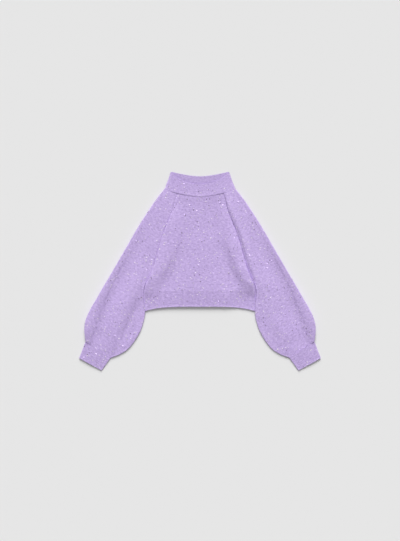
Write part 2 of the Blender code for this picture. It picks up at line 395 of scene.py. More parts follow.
@dataclass(frozen=True)
class Outline:
    """The sweater's plan when it lies flat, one half of it: the other is its mirror image.

    The sleeve's two long edges are curves through matching stations. The inner one is the raglan seam
    down to the underarm, then the side of the body and the hem rib, then the sleeve's free edge.
    """

    outer: Points = (
        (0.133, 0.302), (0.168, 0.256), (0.223, 0.172), (0.286, 0.063), (0.319, 0.006), (0.337, -0.025),
        (0.358, -0.060), (0.381, -0.101), (0.405, -0.142), (0.423, -0.184), (0.4275, -0.222), (0.423, -0.262),
    )
    inner: Points = (
        (0.088, 0.2890), (0.105, 0.220), (0.143, 0.122), (0.178, 0.003), (0.203, -0.055), (0.208, -0.088),
        (0.203, -0.149), (0.211, -0.196), (0.229, -0.240), (0.262, -0.286), (0.295, -0.309), (0.331, -0.3235),
    )
    cuff_outer: tuple[float, float] = (0.447, -0.324)
    cuff_inner: tuple[float, float] = (0.364, -0.370)
    underarm: float = 4.0
    rib_top: float = 5.0
    hem: float = 6.0
    cuff_top: float = 11.0
    neck_half_width: float = 0.133
    neck_side_y: float = 0.302
    front_neck_y: float = 0.274
    back_neck_y: float = 0.290
    back_raglan_x: float = 0.100
    front_neck_power: float = 1.5
    back_neck_power: float = 2.0
    rib_top_bow: float = 0.0085
    hem_bow: float = 0.0160
    scale: tuple[float, float] = (1.0, 1.0)

    def fitted(self, points: Array) -> Array:
        """Plan points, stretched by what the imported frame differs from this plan."""
        return points * np.array(self.scale)

    def outer_fold(self, station: Array) -> Array:
        """The sleeve's outer fold at these stations."""
        return self.fitted(spline(self.outer, station))

    def front_inner(self, station: Array) -> Array:
        """The inner edge of the sleeve's front layer at these stations."""
        return self.fitted(spline(self.inner, station))

    def back_inner(self, station: Array) -> Array:
        """The inner edge of the sleeve's back layer.

        Formula: the front's edge, moved at the neck by the gap between the two raglan seams' tops, and
        by less and less, as the 1.5th power of the share of the way left, down to the underarm.

        Args:
            station: the stations.

        Returns:
            The edge's points.
        """
        start = np.array([self.back_raglan_x, self.back_seam(np.array(self.back_raglan_x))])
        share = np.clip(1 - station / self.underarm, 0, 1)[..., None] ** 1.5
        return self.fitted(spline(self.inner, station) + share * (start - np.array(self.inner[0])))

    def front_seam(self, x: Array) -> Array:
        """Y of the neck seam on the front: lowest at the middle, rising as |x| to a power."""
        share = np.abs(x / self.neck_half_width) ** self.front_neck_power
        return self.front_neck_y + (self.neck_side_y - self.front_neck_y) * share

    def back_seam(self, x: Array) -> Array:
        """Y of the neck seam on the back, rising from the middle as |x| to a power."""
        share = np.abs(x / self.neck_half_width) ** self.back_neck_power
        return self.back_neck_y + (self.neck_side_y - self.back_neck_y) * share


# --------------------------------------------------------------------------------------------------
# Meshes
# --------------------------------------------------------------------------------------------------


def grid_normals(points: Array, ring: bool) -> Array:
    """The unit normals of a grid.

    Formula: the cross product of the directions down the rows and across the columns at each point.

    Args:
        points: the grid, rows by columns by 3.
        ring: whether the last column meets the first.

    Returns:
        The normals, in the grid's shape.
    """
    down = np.gradient(points, axis=0)
    if ring:
        across = np.roll(points, -1, axis=1) - np.roll(points, 1, axis=1)
    else:
        across = np.gradient(points, axis=1)
    return unit(np.cross(down, across))


def mesh_object(
    name: str, points: Array, faces: list[Array], uv: list[Array] | None = None, crease: float = 62.0
) -> bpy.types.Object:
    """A mesh object at the origin.

    Args:
        name: the object's name.
        points: the vertices, n by 3.
        faces: arrays of polygons, one array for each number of corners.
        uv: for each array of polygons, the cloth coordinates of its corners.
        crease: the angle in degrees past which an edge is sharp.

    Returns:
        The object, linked to the scene.
    """
    corners = np.concatenate([f.reshape(-1) for f in faces])
    sizes = np.concatenate([np.full(len(f), f.shape[1]) for f in faces])
    starts = np.concatenate([[0], np.cumsum(sizes)[:-1]])
    mesh = bpy.data.meshes.new(name)
    mesh.vertices.add(len(points))
    mesh.vertices.foreach_set("co", points.astype(np.float32).reshape(-1))
    mesh.loops.add(len(corners))
    mesh.loops.foreach_set("vertex_index", corners.astype(np.int32))
    mesh.polygons.add(len(sizes))
    mesh.polygons.foreach_set("loop_start", starts.astype(np.int32))
    mesh.update(calc_edges=True)
    if uv is not None:
        layer = mesh.uv_layers.new(name="cloth")
        layer.uv.foreach_set("vector", np.concatenate([c.reshape(-1) for c in uv]).astype(np.float32))
    mesh.shade_smooth()
    mesh.set_sharp_from_angle(angle=np.radians(crease))
    made = bpy.data.objects.new(name, mesh)
    bpy.context.scene.collection.objects.link(made)
    return made


def turned_out(
    points: Array, faces: list[Array], uv: list[Array] | None = None
) -> tuple[list[Array], list[Array] | None]:
    """Turns a closed mesh's polygons outwards.

    Formula: the enclosed volume is a sixth of the sum of the triple products of each triangle's
    corners, and where it comes out negative every polygon is reversed.

    Args:
        points: the vertices, n by 3.
        faces: arrays of polygons.
        uv: their corners' cloth coordinates.

    Returns:
        The polygons and their coordinates, all as they were or all reversed.
    """
    volume = 0.0
    for f in faces:
        a = points[f[:, 0]]
        for k in range(1, f.shape[1] - 1):
            volume += float((a * np.cross(points[f[:, k]], points[f[:, k + 1]])).sum())
    if volume >= 0:
        return faces, uv
    return [f[:, ::-1] for f in faces], None if uv is None else [c[:, ::-1] for c in uv]


@dataclass
class Cloth:
    """One finished piece of cloth: its object, and the outer face that pile and sequins sit on."""

    piece: bpy.types.Object
    face: Array
    normals: Array

    def scatter(self, rng: np.random.Generator, density: float) -> tuple[Array, Array, Array]:
        """Random places on the outer face, spread evenly by area.

        Formula: a cell of the grid is drawn with a chance in proportion to its area, and the place is
        the mix of its four corners by two even draws.

        Args:
            rng: the generator to draw from.
            density: how many to a square metre.

        Returns:
            The places, the normals there and a direction down the rows, n by 3 each.
        """
        p = self.face
        down, across = p[1:, :-1] - p[:-1, :-1], p[:-1, 1:] - p[:-1, :-1]
        area = np.linalg.norm(np.cross(down, across), axis=-1)
        count = int(density * area.sum())
        cell = rng.choice(area.size, count, p=area.reshape(-1) / area.sum())
        r, c = np.unravel_index(cell, area.shape)
        a, b = rng.uniform(0, 1, (2, count, 1))

        def mixed(grid: Array) -> Array:
            """Reads a grid between the four corners of each chosen cell.

            Args:
                grid: values at the grid's points.

            Returns:
                One value for each chosen place.
            """
            top = grid[r, c] * (1 - b) + grid[r, c + 1] * b
            low = grid[r + 1, c] * (1 - b) + grid[r + 1, c + 1] * b
            return top * (1 - a) + low * a

        return mixed(p), unit(mixed(self.normals)), unit(down[r, c])


def scattered(cloths: list[Cloth], rng: np.random.Generator, density: float) -> tuple[Array, ...]:
    """Random places on several pieces of cloth, as Cloth.scatter gives them."""
    return tuple(np.concatenate(part) for part in zip(*(c.scatter(rng, density) for c in cloths)))


@dataclass
class Wall:
    """Builds a closed wall of cloth from the grid of its outer face."""

    name: str
    base: Array
    uv: Array
    relief: Array | float = 0.0
    thickness: float = 1.6 * MM
    ring: bool = False
    rim_steps: int = 5

    def build(self) -> Cloth:
        """The wall.

        Formula: the outer face is the base moved out by the relief along its normals, the inner face
        is the base moved in by the thickness, and half circles join the two along the first and last
        rows. A ring closes on itself, and any other wall is capped at its first and last columns.

        Returns:
            The wall's object, and its outer face with the base's normals.
        """
        normals = grid_normals(self.base, self.ring)
        if self._outward(normals) < 0:
            normals = -normals
        outer = self.base + normals * np.broadcast_to(self.relief, self.base.shape[:2])[..., None]
        inner = self.base - normals * self.thickness
        k = self.rim_steps
        angle = (np.arange(1, k + 1) * np.pi / (k + 1))[:, None, None]
        end = self._rim(outer[-1], inner[-1], outer[-1] - outer[-2], angle)
        start = self._rim(outer[0], inner[0], outer[0] - outer[1], angle)[::-1]
        loops = np.concatenate([outer, end, inner[::-1], start])
        last, first = np.repeat(self.uv[-1:], k, 0), np.repeat(self.uv[:1], k, 0)
        past = np.concatenate([self.uv, last, self.uv[::-1], first])
        points = loops.reshape(-1, 3)
        faces, uv = self._skin(*loops.shape[:2], past)
        if not self.ring:
            for extra, corner in self._caps(*loops.shape[:2], past):
                faces.append(extra)
                uv.append(corner)
        faces, uv = turned_out(points, faces, uv)
        return Cloth(mesh_object(self.name, points, faces, uv), outer, normals)

    def _outward(self, normals: Array) -> float:
        """Tells whether the normals point out of the wall.

        Formula: the sum of the normals' Z over the points that lie higher than the median.

        Args:
            normals: the base's normals.

        Returns:
            A positive number where they do.
        """
        height = self.base[..., 2]
        level = np.ptp(height) < 0.1 * MM
        high = np.full(height.shape, True) if level else height > np.median(height)
        return float(normals[..., 2][high].sum()) or 1.0

    def _rim(self, a: Array, b: Array, away: Array, angle: Array) -> Array:
        """The rounded rim from one row to another.

        Formula: each point is the pair's middle, plus cos times half the way from b to a, plus sin
        times a quarter of that way's length across it.

        Args:
            a: the first row.
            b: the second row.
            away: the direction in which the rim bulges, for each point of the row.
            angle: the angles round the rim, 0 at a and pi at b.

        Returns:
            The rim's rows.
        """
        middle, arm = (a + b) / 2, (a - b) / 2
        size = np.linalg.norm(arm, axis=1, keepdims=True)
        away = away - (away * arm / size).sum(1, keepdims=True) * arm / size
        return middle + arm * np.cos(angle) + 0.5 * size * unit(away) * np.sin(angle)

    def _skin(self, rows: int, columns: int, past: Array) -> tuple[list[Array], list[Array]]:
        """The quads all round every loop.

        Args:
            rows: how many rows the loops have, outer face, rims and inner face together.
            columns: how many points a row has.
            past: the cloth coordinates of every point.

        Returns:
            The quads, and their corners' cloth coordinates, in a list each.
        """
        across = columns if self.ring else columns - 1
        r, c = np.meshgrid(np.arange(rows), np.arange(across), indexing="ij")
        s, d = (r + 1) % rows, (c + 1) % columns
        corners = [r * columns + c, s * columns + c, s * columns + d, r * columns + d]
        quads = np.stack(corners, -1).reshape(-1, 4)
        uv = past.reshape(-1, 2)[quads]
        if self.ring:
            # Round the last column, the cloth coordinate goes on instead of jumping back to 0.
            step = np.abs(past[0, 1, 0] - past[0, 0, 0])
            uv[:, 2:, 0] += (past[:, -1, 0].max() + step) * (d == 0).reshape(-1, 1)
        return [quads], [uv]

    def _caps(self, rows: int, columns: int, past: Array) -> list[tuple[Array, Array]]:
        """The faces that close the wall's first and last columns.

        Args:
            rows: how many rows the loops have.
            columns: how many points a row has.
            past: the cloth coordinates of every point.

        Returns:
            For each kind of face and each end, the faces and their corners' cloth coordinates.
        """
        k, n = self.rim_steps, (rows - 2 * self.rim_steps) // 2
        over = np.arange(n - 1)
        under = n + k + (n - 1 - over)
        strip = np.stack([over + 1, over, under, under - 1], -1)
        round_end = np.arange(n + k, n - 2, -1)[None]
        round_start = np.concatenate([[0], np.arange(rows - 1, rows - 2 - k, -1)])[None]
        flat = past.reshape(-1, 2)
        made = []
        for loops in (strip, round_end, round_start):
            for column, order in ((0, slice(None)), (columns - 1, slice(None, None, -1))):
                f = (loops * columns + column)[:, order]
                made.append((f, flat[f]))
        return made


def laid_piece(cloth: Cloth, materials: Materials, stitch: Stitch, node: str) -> Cloth:
    """Dresses a piece, puts it on the frame and hides the solid that it stands for.

    Args:
        cloth: the piece.
        materials: the yarn's material for each stitch.
        stitch: how the piece is knitted.
        node: the name of the solid.

    Returns:
        The piece.
    """
    cloth.piece.data.materials.append(materials[stitch])
    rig.ride(cloth.piece, "root")
    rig.replaces(cloth.piece, node)
    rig.slot(cloth.piece, stitch.slot)
    LOG.info("%s: %d faces", cloth.piece.name, len(cloth.piece.data.polygons))
    return cloth


# --------------------------------------------------------------------------------------------------
# Finishes
# --------------------------------------------------------------------------------------------------


class Nodes:
    """A material's node tree, with short calls for the nodes the finishes use."""

    def __init__(self, name: str) -> None:
        """Starts a material of this name with a Principled shader.

        Args:
            name: the material's name.
        """
        self.material = bpy.data.materials.new(name)
        self.material.use_nodes = True
        self.tree = self.material.node_tree
        self.shader = self.tree.nodes["Principled BSDF"]

    def add(self, kind: str, **settings: object) -> bpy.types.Node:
        """Adds a node.

        Args:
            kind: the node's type.
            settings: its properties.

        Returns:
            The node.
        """
        node = self.tree.nodes.new(kind)
        for key, value in settings.items():
            setattr(node, key, value)
        return node

    def put(self, socket: Socket, value: object) -> None:
        """Feeds a socket.

        Args:
            socket: the input.
            value: another node's output to link to it, or the value to set on it.
        """
        if isinstance(value, Socket):
            self.tree.links.new(value, socket)
        else:
            socket.default_value = value

    def math(self, operation: str, *values: object) -> Socket:
        """One step of arithmetic.

        Args:
            operation: the Math node's operation.
            values: outputs or numbers, one for each input.

        Returns:
            The result's socket.
        """
        node = self.add("ShaderNodeMath", operation=operation)
        for socket, value in zip(node.inputs, values):
            self.put(socket, value)
        return node.outputs[0]

    def weighed(self, first: tuple[object, float], *others: tuple[object, float]) -> Socket:
        """The sum of values times their weights.

        Args:
            first: a value and its weight.
            others: more of them.

        Returns:
            The sum's socket.
        """
        total = self.math("MULTIPLY", *first)
        for value, weight in others:
            total = self.math("MULTIPLY_ADD", value, weight, total)
        return total

    def noise(self, where: Socket, look: tuple[float, float, float]) -> Socket:
        """Noise from 0 to 1.

        Args:
            where: the coordinates.
            look: how many features to a metre, the detail and the roughness.

        Returns:
            The noise's socket.
        """
        node = self.add("ShaderNodeTexNoise")
        self.put(node.inputs["Vector"], where)
        for key, value in zip(("Scale", "Detail", "Roughness"), look):
            node.inputs[key].default_value = value
        return node.outputs["Fac"]

    def ramp(self, value: Socket, stops: tuple[tuple[float, Colour], ...]) -> Socket:
        """A colour read off a ramp.

        Args:
            value: where to read it.
            stops: the places on the ramp, with their colours.

        Returns:
            The colour's socket.
        """
        node = self.add("ShaderNodeValToRGB")
        self.put(node.inputs["Fac"], value)
        elements = node.color_ramp.elements
        while len(elements) < len(stops):
            elements.new(0.5)
        for element, (place, colour) in zip(elements, stops):
            element.position, element.color = place, (*colour, 1.0)
        return node.outputs["Color"]


@dataclass(frozen=True)
class KnitFinish:
    """The fluffy lilac yarn, knitted as jersey or as rib.

    A noise's three numbers are its features to a metre, its detail and its roughness.
    """

    stitch: Stitch
    course: float = 3.2 * MM
    stops: tuple[tuple[float, Colour], ...] = (
        (0.36, (0.366, 0.272, 0.530)),
        (0.68, (0.578, 0.437, 0.803)),
        (1.0, (0.765, 0.622, 0.972)),
    )
    stray_noise: tuple[float, float, float] = (95.0, 2.0, 0.55)
    mottle_noise: tuple[float, float, float] = (205.0, 2.5, 0.58)
    hair_noise: tuple[float, float, float] = (900.0, 3.0, 0.7)
    drift_noise: tuple[float, float, float] = (14.0, 2.0, 0.55)
    mottle_stretch: tuple[float, float, float] = (0.48, 0.90, 1.0)
    stray_across: float = 0.9
    stray_down: float = 1.3
    leg_slant: float = 1.2
    leg_depth: float = 0.32
    bump_strength: float = 0.7
    bump_distance: float = 1.0 * MM
    roughness: float = 0.56
    specular: float = 0.70
    sheen: float = 0.08
    sheen_roughness: float = 0.45
    sheen_tint: Colour = (0.86, 0.78, 0.98)

    def material(self, name: str) -> bpy.types.Material:
        """The yarn's material.

        Formula: with x and y in stitches along the cloth's own coordinates and a the distance from a
        wale's middle, a stitch's two legs are ridges 1-(4a-1)², cut by cos(2pi(y+1.2a)) so that they
        slant to the middle. Noise of three sizes stirs the yarn's colour and its loose hairs. The legs' height
        also darkens the colour in the furrows between them: painted shade in the furrows, along with the bump.

        Args:
            name: the material's name.

        Returns:
            The material.
        """
        n = Nodes(name)
        own = n.add("ShaderNodeUVMap", uv_map="cloth").outputs["UV"]
        where = n.add("ShaderNodeTexCoord").outputs["Object"]
        stray = n.noise(where, self.stray_noise)
        loops = self._loops(n, own, stray)
        drawn = n.add("ShaderNodeVectorMath", operation="MULTIPLY")
        n.put(drawn.inputs[0], own)
        drawn.inputs[1].default_value = self.mottle_stretch
        mottle = n.noise(drawn.outputs[0], self.mottle_noise)
        hairs = n.noise(where, self.hair_noise)
        drift = n.noise(where, self.drift_noise)
        # The legs' height in the tone makes the furrows between the stitches darker: painted shade in the furrows.
        tone = n.weighed((mottle, 0.80), (loops, 0.16), (hairs, 0.30), (drift, 0.10))
        n.put(n.shader.inputs["Base Color"], n.ramp(tone, self.stops))
        relief = n.add("ShaderNodeBump")
        relief.inputs["Strength"].default_value = self.bump_strength
        relief.inputs["Distance"].default_value = self.bump_distance
        n.put(relief.inputs["Height"], n.weighed((loops, 0.6), (hairs, 0.55), (mottle, 0.8)))
        n.put(n.shader.inputs["Normal"], relief.outputs["Normal"])
        n.shader.inputs["Roughness"].default_value = self.roughness
        n.shader.inputs["Specular IOR Level"].default_value = self.specular
        n.shader.inputs["Sheen Weight"].default_value = self.sheen
        n.shader.inputs["Sheen Roughness"].default_value = self.sheen_roughness
        n.shader.inputs["Sheen Tint"].default_value = (*self.sheen_tint, 1.0)
        return n.material

    def _loops(self, n: Nodes, own: Socket, stray: Socket) -> Socket:
        """The height of the stitches' legs, from 0 in a furrow to 1.

        Args:
            n: the material's nodes.
            own: the cloth's own coordinates.
            stray: noise that lets the stitches wander.

        Returns:
            The height's socket.
        """
        split = n.add("ShaderNodeSeparateXYZ")
        n.put(split.inputs[0], own)
        wander = n.math("MULTIPLY", stray, self.stray_across)
        sway = n.math("MULTIPLY", stray, self.stray_down)
        x = n.math("ADD", n.math("DIVIDE", split.outputs["X"], self.stitch.wale), wander)
        y = n.math("ADD", n.math("DIVIDE", split.outputs["Y"], self.course), sway)
        a = n.math("ABSOLUTE", n.math("SUBTRACT", n.math("FRACT", x), 0.5))
        off_leg = n.math("SUBTRACT", n.math("MULTIPLY", a, 4.0), 1.0)
        legs = n.math("SUBTRACT", 1.0, n.math("POWER", off_leg, 2.0))
        slant = n.math("ADD", y, n.math("MULTIPLY", a, self.leg_slant))
        wave = n.math("COSINE", n.math("MULTIPLY", slant, 2 * np.pi))
        return n.math("MULTIPLY", legs, n.math("MULTIPLY_ADD", wave, self.leg_depth, 1 - self.leg_depth))


@dataclass(frozen=True)
class PlainFinish:
    """A finish that is the same all over, for things too small to show a pattern and for the floor."""

    colour: Colour
    metallic: float
    roughness: float
    sheen: float = 0.0
    specular: float = 0.5

    def material(self, name: str) -> bpy.types.Material:
        """The material, with every value on the shader itself.

        Args:
            name: the material's name.

        Returns:
            The material.
        """
        n = Nodes(name)
        n.shader.inputs["Base Color"].default_value = (*self.colour, 1.0)
        n.shader.inputs["Metallic"].default_value = self.metallic
        n.shader.inputs["Roughness"].default_value = self.roughness
        n.shader.inputs["Sheen Weight"].default_value = self.sheen
        n.shader.inputs["Specular IOR Level"].default_value = self.specular
        return n.material


# --------------------------------------------------------------------------------------------------
# How the cloth came to lie
# --------------------------------------------------------------------------------------------------


FRONT_FOLDS = (
    # From each raglan seam's top down and outwards to the underarm.
    Fold(
        ((0.075, 0.245), (0.091, 0.150), (0.100, 0.085), (0.121, 0.019), (0.154, -0.037), (0.184, -0.087)),
        (10, 21, 21, 26),
        20,
    ),
    Fold(
        (
            (-0.190, -0.100), (-0.154, -0.045), (-0.117, 0.004),
            (-0.086, 0.071), (-0.074, 0.145), (-0.062, 0.240),
        ),
        (15, 16, 16, 10),
        23,
    ),
    # Close by each raglan seam.
    Fold(((0.150, 0.045), (0.163, -0.003), (0.181, -0.045), (0.190, -0.085), (0.194, -0.120)), (3, 8, 5), 9),
    Fold(
        (
            (-0.200, -0.118), (-0.194, -0.058), (-0.175, 0.022),
            (-0.149, 0.102), (-0.125, 0.182), (-0.103, 0.252),
        ),
        (5, 0, -1, -10),
        12,
    ),
    # From each underarm inwards.
    Fold(((0.100, -0.073), (0.150, -0.078), (0.188, -0.083), (0.240, -0.088)), (18, 16), 28),
    Fold(((-0.240, -0.095), (-0.192, -0.090), (-0.150, -0.080), (-0.100, -0.075)), (7, 5), 28),
    # Under the collar, and across the chest.
    Fold(((-0.095, 0.270), (-0.045, 0.262), (0.045, 0.262), (0.095, 0.270)), (3, 4), 22),
    Fold(((0.110, 0.130), (0.050, 0.130), (-0.040, 0.130), (-0.095, 0.130)), (6, 4), 45),
)


@dataclass(frozen=True)
class SleeveLie:
    """How one sleeve came to lie: its inner edge's heights and roll, and its folds."""

    heights_mm: Points
    seam_roll: float
    folds: tuple[Fold, ...]


SLEEVE_LIES = {
    Side.LEFT: SleeveLie(
        heights_mm=(
            (0, 9.0), (0.5, 9.9), (1.5, 11.0), (3, 12.2),
            (4.3, 12.0), (5.3, 10.4), (7, 5.0), (11, 4.4),
        ),
        seam_roll=7.5 * MM,
        folds=(
            # The long fold beside the outer edge.
            Fold(
                (
                    (0.189, 0.218), (0.236, 0.118), (0.278, 0.043), (0.322, -0.037),
                    (0.356, -0.118), (0.387, -0.193), (0.407, -0.258), (0.412, -0.308),
                ),
                (10, 20, 22, 24, 23, 22),
                24,
            ),
            # Down the middle of the balloon, and inside it.
            Fold(
                (
                    (0.192, 0.076), (0.219, -0.004), (0.245, -0.084),
                    (0.272, -0.160), (0.306, -0.231), (0.334, -0.286),
                ),
                (5, 3, -7, -8),
                28,
            ),
            Fold(
                ((0.221, -0.046), (0.237, -0.125), (0.259, -0.183), (0.297, -0.234), (0.334, -0.279)),
                (6, 4, 7),
                20,
            ),
            # The sleeve's rise beside the raglan seam.
            Fold(
                (
                    (0.099, 0.272), (0.113, 0.222), (0.151, 0.124),
                    (0.186, 0.005), (0.211, -0.053), (0.216, -0.105),
                ),
                (4, 9, 11, 5),
                7,
            ),
        ),
    ),
    Side.RIGHT: SleeveLie(
        heights_mm=((0, 7.6), (2.5, 8.6), (4, 10.0), (5.3, 9.5), (7, 5.0), (11, 4.5)),
        seam_roll=4.0 * MM,
        folds=(
            # The long fold beside the outer edge.
            Fold(
                (
                    (-0.407, -0.298), (-0.393, -0.233), (-0.370, -0.158), (-0.342, -0.087),
                    (-0.307, -0.017), (-0.266, 0.053), (-0.224, 0.128), (-0.179, 0.213),
                ),
                (21, 20, 23, 16, 12, 7),
                20,
            ),
            # Down the middle of the balloon, and inside it.
            Fold(
                (
                    (-0.332, -0.311), (-0.305, -0.267), (-0.268, -0.192),
                    (-0.244, -0.129), (-0.212, -0.036), (-0.185, 0.067),
                ),
                (5, 11, 19, 8),
                22,
            ),
            Fold(
                ((-0.300, -0.285), (-0.262, -0.245), (-0.232, -0.190), (-0.212, -0.120), (-0.205, -0.050)),
                (-10, -8, -3),
                11,
            ),
        ),
    ),
}


# --------------------------------------------------------------------------------------------------
# The pieces of the garment
# --------------------------------------------------------------------------------------------------


@dataclass
class Knitwear:
    """What every piece of cloth here shares: the plan, the yarns, the heights of the layers and the rib."""

    plan: Outline
    materials: Materials
    wall: float = 1.6 * MM
    seam: float = 0.12 * MM
    ground: float = 0.4 * MM
    middle_height: float = 2.2 * MM
    seam_height: float = 7.0 * MM
    neck_lift: float = 1.8 * MM
    neck_reach: float = 20 * MM
    left_drop: float = 1.8 * MM
    rib_pitch: float = 5.2 * MM
    rib_depth: float = 0.9 * MM
    rib_roundness: float = 0.6
    rib_samples: int = 6
    edge_reach: float = 3 * MM

    def seam_at(self, from_neck: Array, x: Array) -> Array:
        """The raglan seam's height: higher where it meets the collar, lower on the wearer's left."""
        near = np.exp(-from_neck / self.neck_reach)
        return self.seam_height + self.neck_lift * near - self.left_drop * (x > 0) * (1 - near)

    def ribbed(self, across: Array) -> Array:
        """Round ribs over their furrows: depth times a low power of |cos(pi across / pitch)|, less one."""
        return self.rib_depth * (np.abs(np.cos(np.pi * across / self.rib_pitch)) ** self.rib_roundness - 1)

    def rib_ends(self, from_seam: Array, from_edge: Array) -> Array:
        """How far the ribs stand out near the band's ends: rounded down to the seam and to the free edge."""
        return rolled(from_seam + 1 * MM, self.edge_reach) * rolled(from_edge + 2 * MM, self.edge_reach)

    def rib_sides(self, height: Array) -> Array:
        """How deep the ribs are on each layer: about a third of the full depth on what lies underneath."""
        return 0.35 + 0.65 * smooth_step(height / (1.5 * MM) - 0.5)

    def uneven(self, plan: Array, seed: int) -> Array:
        """The pile's own lumps, a fraction of a millimetre high."""
        return 0.12 * MM * ripple(plan, 16 * MM, seed) + 0.06 * MM * ripple(plan, 8.5 * MM, seed + 1)


@dataclass
class Body(Knitwear):
    """The front, the back and the two halves of the hem rib."""

    step: float = 3.0 * MM
    back_step: float = 5.0 * MM
    rib_step: float = 3.2 * MM
    hidden_samples: int = 4
    mean_half_width: float = 0.19
    side_height: float = 7.5 * MM
    left_dip: float = 1.9 * MM
    left_reach: float = 16 * MM
    left_fade: float = 50 * MM
    rise: float = 2.2 * MM
    rise_reach: float = 34 * MM
    least_height: float = 5.0 * MM
    most_height: float = 15.0 * MM
    side_roll: float = 3.2 * MM
    neck_dip: float = 0.5 * MM
    neck_dip_reach: float = 30 * MM
    rib_groove: float = 0.25 * MM
    hem_droop: float = 2.4 * MM
    layer_gap: float = 0.2 * MM
    lip: float = 0.8 * MM
    side_power: float = 3.0
    lumps_seed: int = 3
    folds: tuple[Fold, ...] = FRONT_FOLDS

    def panel(self, stations: Array, front: bool, step: float) -> tuple[Array, Array]:
        """Plan points of a panel or of half the hem rib.

        Formula: a row joins the two side edges at one station, and bows up at its middle by bow(1-|u|^p),
        u being the share of the way from the middle to the side.

        Args:
            stations: one for each row, along the side edge.
            front: whether it is the front.
            step: the spacing of the columns.

        Returns:
            The points, rows by columns by 2, and how far each lies from its side edge.
        """
        plan = self.plan
        edge = plan.front_inner if front else plan.back_inner
        middle = plan.front_neck_y if front else plan.back_neck_y
        power = plan.front_neck_power if front else plan.back_neck_power
        side, first = edge(stations), edge(np.zeros(1))
        down = np.clip(stations / plan.rib_top, 0, 1)
        below = np.clip(stations - plan.rib_top, 0, 1)
        neck_bow = middle - first[0, 1]
        bow = (neck_bow + (plan.rib_top_bow - neck_bow) * down) + (plan.hem_bow - plan.rib_top_bow) * below
        shape = power + (self.side_power - power) * down + below
        half = side[:, :1] - self.seam
        u = spaced(2.0, step / self.mean_half_width) - 1
        x = u * half
        y = side[:, 1:] + bow[:, None] * (1 - np.abs(u) ** shape[:, None])
        return np.stack([x, y], -1), half - np.abs(x)

    def front_height(self, plan: Array, from_side: Array) -> Array:
        """Height of the front's outer face before its sides roll down.

        Formula: a soft rise from the sides to the middle, less a dip beside the wearer's left raglan
        seam that fades in below the collar, plus the folds, and kept between two limits.

        Args:
            plan: the places, two coordinates each.
            from_side: how far each lies from its side edge.

        Returns:
            One height for each place.
        """
        full = self.side_height + self.rise * settled(from_side, self.rise_reach)
        below = smooth_step((self.plan.front_neck_y - plan[..., 1]) / self.left_fade)
        full = full - self.left_dip * (plan[..., 0] > 0) * np.exp(-from_side / self.left_reach) * below
        for fold in self.folds:
            full = full + fold.at(plan)
        return np.clip(full, self.least_height, self.most_height)

    def build(self) -> dict[str, Cloth]:
        """All four pieces, each under its node's name."""
        made = {"body_front": self.front(), "hem_rib_front": self.hem_rib("hem_rib_front", True)}
        return made | {"body_back": self.back(), "hem_rib_back": self.hem_rib("hem_rib_back", False)}

    def front(self) -> Cloth:
        """The front panel.

        Formula: the front's height, with a groove along the rib's seam, rolled down to the raglan seams
        and dipping towards the neck seam.

        Returns:
            The panel's cloth.
        """
        plan = self.plan
        rows = drawn_along(plan.front_inner, 0.0, plan.rib_top, self.step)
        points, from_side = self.panel(rows, True, self.step)
        from_neck = plan.front_seam(points[..., 0]) - points[..., 1]
        height = self.front_height(points, from_side)
        height -= self.rib_groove * bump(points[..., 1] - points[-1, :, 1], self.edge_reach)
        low = self.seam_at(np.maximum(from_neck, 0), points[..., 0])
        height = low + (height - low) * rolled(from_side, self.side_roll)
        height -= self.neck_dip * np.exp(-from_neck / self.neck_dip_reach)
        base = self.set_in(points, height)
        relief = self.uneven(base[..., :2], self.lumps_seed)
        made = Wall("body_front_cloth", base, base[..., :2], relief, self.wall).build()
        return laid_piece(made, self.materials, Stitch.JERSEY, "body_front")

    def back(self) -> Cloth:
        """The back panel: a flat wall on the ground, whose outer face is the underside.

        Returns:
            The cloth, with the underside as the face that pile and sequins sit on.
        """
        plan = self.plan
        rows = drawn_along(plan.back_inner, 0.0, plan.rib_top, self.back_step)
        points, _ = self.panel(rows, False, self.back_step)
        base = self.set_in(points, np.full(points.shape[:2], self.ground))[:, ::-1]
        upper = base + np.array([0, 0, self.wall])
        made = Wall("body_back_cloth", upper, base[..., :2], 0.0, self.wall).build()
        laid_piece(made, self.materials, Stitch.JERSEY, "body_back")
        return Cloth(made.piece, base, -made.normals)

    def set_in(self, points: Array, height: Array) -> Array:
        """A panel's points in space, drawn in from the neck seam and let out to the rib's.

        Args:
            points: the panel's points in plan.
            height: one for each point.

        Returns:
            The points, rows by columns by 3.
        """
        points[0, :, 1] -= self.seam
        points[-1, :, 1] += self.seam / 2
        return np.concatenate([points, height[..., None]], -1)

    def hem_rib(self, name: str, front: bool) -> Cloth:
        """Half of the ribbed band under the body.

        Formula: the front half goes on from the front's height, droops evenly to the free edge, rolls
        down at its sides, keeps clear of the back half and ends in a small lip; the back half is flat.

        Args:
            name: its node's name.
            front: whether it is the front half.

        Returns:
            The band's cloth.
        """
        plan = self.plan
        rows = drawn_along(plan.front_inner, plan.rib_top, plan.hem, self.rib_step)
        samples = self.rib_samples if front else self.hidden_samples
        points, from_side = self.panel(rows, front, self.rib_pitch / samples)
        top, bottom = points[0, :, 1], points[-1, :, 1]
        from_seam, from_edge = top - points[..., 1], points[..., 1] - bottom
        height = np.full(points.shape[:2], self.ground + self.wall)
        if front:
            height = self.front_height(points, from_side) - self.hem_droop * from_seam / (top - bottom)
            height -= self.rib_groove * bump(from_seam, self.edge_reach)
            # The band lies far below the collar, so the seam has lost all of its lift there.
            low = self.seam_at(from_seam + plan.neck_side_y, points[..., 0])
            height = low + (height - low) * rolled(from_side, self.side_roll)
            height = np.maximum(height, self.ground + 2 * self.wall + self.layer_gap)
            height = height + self.lip * bump(from_edge, self.edge_reach)
        points[0, :, 1] -= self.seam / 2
        ends = self.rib_ends(top - points[..., 1], from_edge)
        base = np.concatenate([points, height[..., None]], -1)
        relief = self.ribbed(points[..., 0]) * ends
        made = Wall(f"{name}_cloth", base, base[..., :2], relief, self.wall).build()
        return laid_piece(made, self.materials, Stitch.RIB, name)


